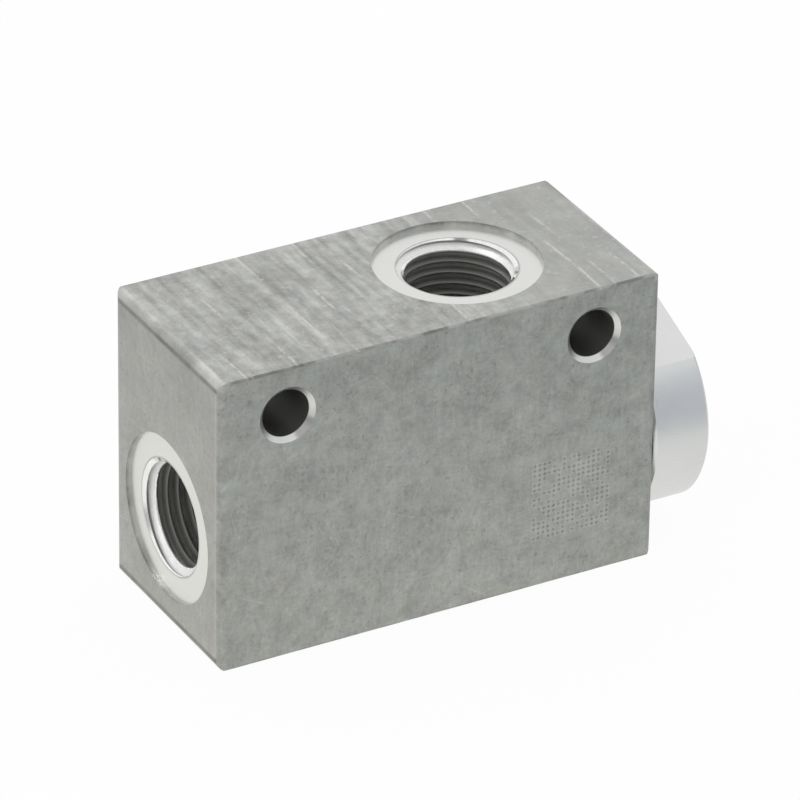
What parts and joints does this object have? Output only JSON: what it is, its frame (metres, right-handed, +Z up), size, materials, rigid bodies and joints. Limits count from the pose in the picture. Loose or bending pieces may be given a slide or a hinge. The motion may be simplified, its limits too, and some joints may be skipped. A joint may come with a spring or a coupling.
{
  "type": "quick exhaust valve",
  "caption": "Pneumatic quick exhaust valve: drilled aluminium block with threaded ports, cross mounting holes and a screwed-in exhaust cap over a sliding shuttle.",
  "frame": {"origin": "centre of the block's base face", "axes": "+X along the chamber towards the exhaust cap, +Y from the front face to the back face, +Z up through the outlet port"},
  "size_m": [0.0603, 0.024, 0.035],
  "materials": {
    "body_aluminium": "raw, tumbled, mottled grey",
    "cap_aluminium": "bright turned",
    "seal_rubber": "matte black",
    "turned_brass": "turned",
    "guide_plastic": "moulded, natural white",
    "clip_steel": "phosphated spring steel"
  },
  "bodies": {
    "housing": {"valve_body": "body_aluminium", "exhaust_cap": "cap_aluminium", "cap_o_ring": "seal_rubber"},
    "shuttle": {"spindle": "turned_brass", "lip_seal": "seal_rubber", "support_washer": "turned_brass", "winged_guide": "guide_plastic", "exhaust_disc": "seal_rubber", "disc_retainer": "turned_brass", "retaining_clip": "clip_steel"}
  },
  "joints": [
    {"name": "shuttle_slide", "type": "slide", "parent": "housing", "child": "shuttle", "axis": [1, 0, 0], "range_m": [0, 0.0025]}
  ]
}
